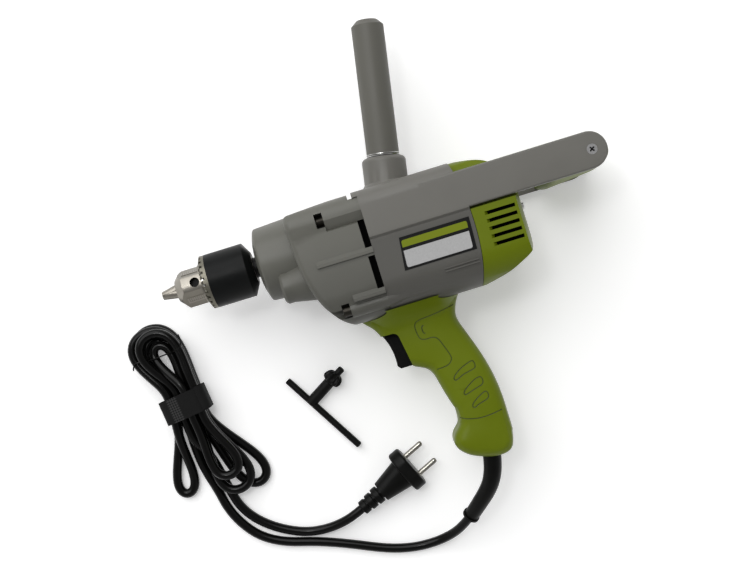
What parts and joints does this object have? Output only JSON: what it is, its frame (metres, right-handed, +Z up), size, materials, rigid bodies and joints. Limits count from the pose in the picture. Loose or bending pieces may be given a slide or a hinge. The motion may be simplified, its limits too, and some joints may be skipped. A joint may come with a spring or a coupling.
{
  "type": "corded two-handed drill",
  "caption": "Corded power drill with keyed chuck, pistol grip, tube top handle and rear cross handle, lying with its tied lead and chuck key.",
  "frame": {"origin": "on the table, under the middle of the drill's box without its lead", "axes": "+Z up from the table, across the drill; -X along the spindle towards the chuck; +Y towards the top handle"},
  "size_m": [0.4324, 0.4454, 0.11],
  "materials": {
    "grey_cast": "satin grey paint on cast aluminium",
    "grey_plastic": "satin grey moulded plastic",
    "green_plastic": "satin lime-green moulded plastic",
    "black_plastic": "matt black moulded plastic",
    "black_rubber": "black flexible rubber",
    "black_steel": "black oxide steel",
    "bright_steel": "machined bright steel",
    "grey_paint": "satin grey paint on steel tube",
    "zinc": "zinc plated steel",
    "dark_screw": "blackened steel screw",
    "bearing_steel": "ground bearing steel",
    "bronze": "sintered bronze",
    "felt": "grey felt",
    "iron_core": "stacked sheet iron",
    "copper": "enamelled copper wire",
    "carbon": "graphite block",
    "label": "bare label plate with a green band",
    "strap": "woven black strap"
  },
  "bodies": {
    "drill": {"gear_housing": "grey_cast", "case_screws": "dark_screw", "bearing_plate": "grey_cast", "plate_screws": "zinc", "nose_seal": "felt", "spindle_bearing": "bearing_steel", "shaft_bushes": "bronze", "motor_front_bearing": "bearing_steel", "stator_core": "iron_core", "stator_coils": "copper", "brushes": "carbon", "brush_holders": "bronze", "brush_springs": "bright_steel", "brush_bridge": "black_plastic", "motor_rear_bearing": "bearing_steel", "motor_housing": "grey_plastic", "rear_cap": "green_plastic", "cap_screws": "dark_screw", "arm_screws": "zinc", "cross_grip_rod": "bright_steel", "cross_grip": "green_plastic", "name_plate": "label", "top_handle": "grey_paint", "top_handle_stud": "bright_steel", "grip_left": "green_plastic", "grip_right": "green_plastic", "grip_screws": "dark_screw", "trigger_spring": "bright_steel", "switch": "black_plastic", "cord_lead": "black_rubber", "cord_clamp": "black_plastic", "clamp_screws": "zinc", "cord_boot": "black_rubber", "cord_run": "black_rubber", "cord_hank": "black_rubber", "cord_tie": "strap", "cord_tail": "black_rubber", "plug_body": "black_rubber", "plug_pins": "zinc"},
    "spindle": {"spindle": "black_steel", "spindle_circlip": "dark_screw", "spindle_gear": "bright_steel", "chuck_body": "bright_steel"},
    "chuck_sleeve": {"chuck_sleeve": "black_plastic", "chuck_ring": "bright_steel", "chuck_nut": "bright_steel"},
    "jaw_a": {"chuck_jaw_a": "bright_steel"},
    "jaw_b": {"chuck_jaw_b": "bright_steel"},
    "jaw_c": {"chuck_jaw_c": "bright_steel"},
    "lay_shaft": {"lay_shaft": "bright_steel", "lay_wheel": "bright_steel"},
    "armature": {"armature_shaft": "bright_steel", "armature_core": "iron_core", "armature_windings": "copper", "commutator": "copper", "fan": "black_plastic"},
    "trigger": {"trigger": "black_plastic"},
    "chuck_key": {"chuck_key": "black_steel", "chuck_key_bar": "black_steel"}
  },
  "joints": [
    {"name": "spindle_spin", "type": "hinge", "parent": "drill", "child": "spindle", "pos_m": [-0.07175, 0.01795, 0.055], "axis": [-1, 0, 0], "continuous": true},
    {"name": "lay_shaft_spin", "type": "hinge", "parent": "drill", "child": "lay_shaft", "pos_m": [-0.05675, -0.0058, 0.07719], "axis": [-1, 0, 0], "continuous": true},
    {"name": "armature_spin", "type": "hinge", "parent": "drill", "child": "armature", "pos_m": [0.03325, 0.00195, 0.055], "axis": [-1, 0, 0], "continuous": true},
    {"name": "chuck_sleeve_turn", "type": "hinge", "parent": "spindle", "child": "chuck_sleeve", "pos_m": [-0.13175, 0.01795, 0.055], "axis": [-1, 0, 0], "range_deg": [0, 3681]},
    {"name": "jaw_a_slide", "type": "slide", "parent": "spindle", "child": "jaw_a", "axis": [0.9744, -0.1731, 0.1437], "range_m": [0, 0.02556]},
    {"name": "jaw_b_slide", "type": "slide", "parent": "spindle", "child": "jaw_b", "axis": [0.9744, -0.0379, -0.2217], "range_m": [0, 0.02556]},
    {"name": "jaw_c_slide", "type": "slide", "parent": "spindle", "child": "jaw_c", "axis": [0.9744, 0.211, 0.078], "range_m": [0, 0.02556]},
    {"name": "trigger_pull", "type": "slide", "parent": "drill", "child": "trigger", "axis": [1, 0, 0], "range_m": [0, 0.007], "stiffness_N_per_m": 900, "springref_m": -0.004, "deforming": ["trigger_spring"]},
    {"name": "chuck_key_lift", "type": "slide", "parent": "drill", "child": "chuck_key", "axis": [0, 0, 1], "range_m": [0, 0.06]}
  ],
  "couplings": [
    {"joint": "lay_shaft_spin", "follows": "spindle_spin", "ratio": -3.7273},
    {"joint": "armature_spin", "follows": "spindle_spin", "ratio": 15.737},
    {"joint": "chuck_sleeve_turn", "follows": "jaw_a_slide", "rad_per_m": 2513.3},
    {"joint": "jaw_b_slide", "follows": "jaw_a_slide", "ratio": 1},
    {"joint": "jaw_c_slide", "follows": "jaw_a_slide", "ratio": 1}
  ]
}
